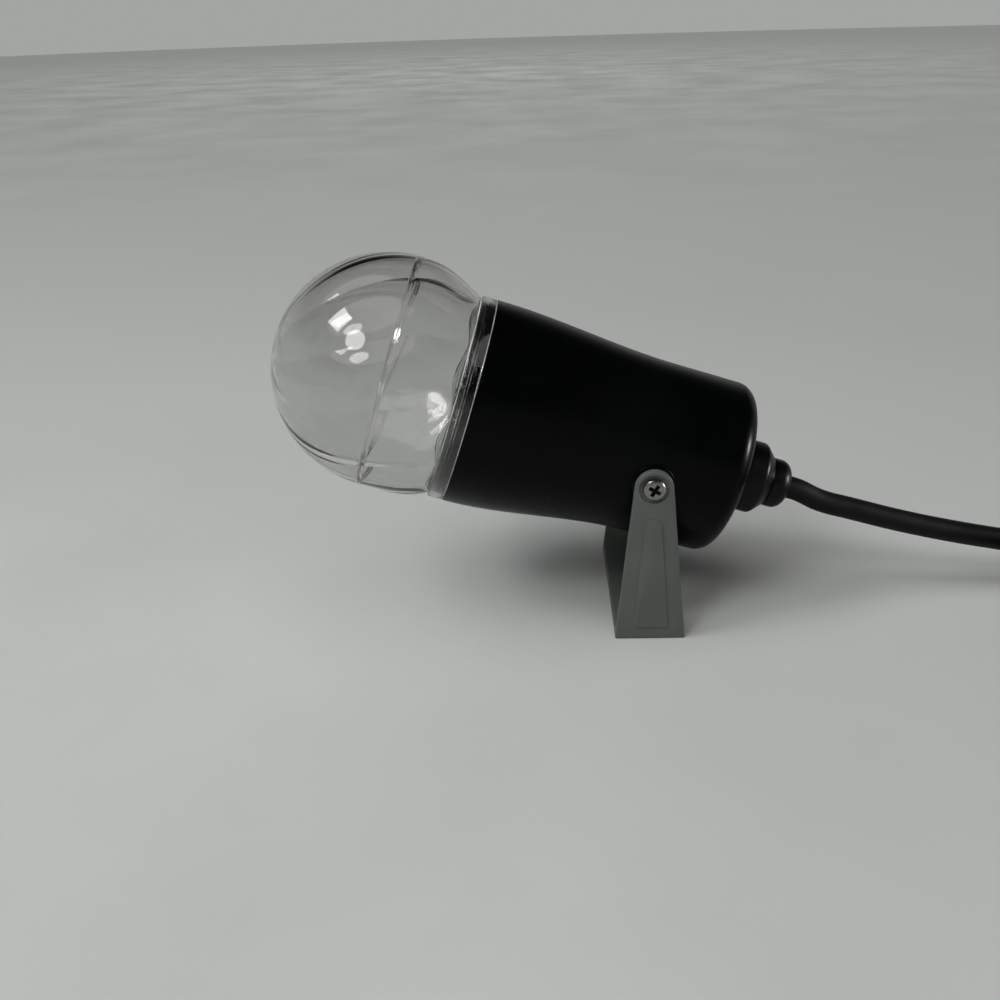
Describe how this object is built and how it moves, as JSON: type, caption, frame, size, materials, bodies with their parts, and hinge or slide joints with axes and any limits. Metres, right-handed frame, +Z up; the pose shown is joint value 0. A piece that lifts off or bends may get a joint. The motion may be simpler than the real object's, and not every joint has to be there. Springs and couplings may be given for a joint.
{
  "type": "disco ball light",
  "caption": "Clear globe party light with a turning faceted lens in a tapered housing that tilts in a U bracket, with a mains lead and plug.",
  "frame": {"origin": "middle of the bracket's underside, on the surface that it stands on or is screwed to", "axes": "+Z up from the bracket's base, X along the light with the globe towards -X, Y along the tilt axis"},
  "size_m": [0.3863, 0.13, 0.1334],
  "materials": {
    "bracket": "satin grey powder coat",
    "housing": "semi-gloss black moulding",
    "clear": "clear polished polycarbonate",
    "lens": "clear faceted acrylic",
    "screw": "bright nickel plate",
    "steel": "plain steel",
    "brass": "turned brass",
    "aluminium": "plain cast and milled",
    "gland": "black nylon",
    "rubber": "black seal rubber",
    "washer": "black nylon",
    "cord": "matte black rubber sheath",
    "plug": "black moulded",
    "circuit": "white solder mask",
    "fibre": "green fibre board",
    "copper": "enamelled copper",
    "led_red": "clear red dome",
    "led_green": "clear green dome",
    "led_blue": "clear blue dome",
    "led_white": "clear white dome",
    "wire_brown": "PVC insulation",
    "wire_blue": "PVC insulation",
    "wire_green": "PVC insulation"
  },
  "bodies": {
    "stand": {"bracket": "bracket", "cord": "cord", "cord_coil": "cord", "cord_tail": "cord", "coil_tie": "washer", "plug_body": "plug", "plug_blade_1": "brass", "plug_blade_2": "brass", "plug_earth_pin": "brass"},
    "head": {"housing": "housing", "bezel_ring": "clear", "bezel_gasket": "rubber", "globe_rear": "clear", "globe_front": "clear", "motor_body": "steel", "motor_screw_1": "steel", "motor_screw_2": "steel", "heat_sink": "aluminium", "chassis_screw_1": "steel", "chassis_screw_2": "steel", "chassis_screw_3": "steel", "led_board": "circuit", "led_board_screw_1": "steel", "led_board_screw_2": "steel", "led_red": "led_red", "led_green": "led_green", "led_blue": "led_blue", "led_white": "led_white", "collimator": "clear", "chassis_tray": "aluminium", "tray_screw_1": "steel", "tray_screw_2": "steel", "transformer_core": "steel", "transformer_winding": "copper", "driver_board": "fibre", "capacitor": "washer", "choke": "copper", "terminal_block": "circuit", "gland_body": "gland", "gland_nut": "gland", "gland_seal": "rubber", "gland_locknut": "gland", "cord_inner": "cord", "lead_line": "wire_brown", "lead_neutral": "wire_blue", "lead_earth": "wire_green", "pivot_screw_near": "screw", "pivot_screw_far": "screw", "pivot_washer_near": "washer", "pivot_washer_far": "washer", "pivot_insert_near": "brass", "pivot_insert_far": "brass"},
    "rotor": {"disco_lens": "lens", "lens_shaft": "steel", "lens_cap_nut": "screw"}
  },
  "joints": [
    {"name": "head_tilt", "type": "hinge", "parent": "stand", "child": "head", "pos_m": [0, 0, 0.059], "axis": [0, 1, 0], "range_deg": [-27, 27], "deforming": ["cord"]},
    {"name": "lens_spin", "type": "hinge", "parent": "head", "child": "rotor", "pos_m": [0, 0, 0.059], "axis": [-0.9511, 0, 0.309], "continuous": true}
  ]
}
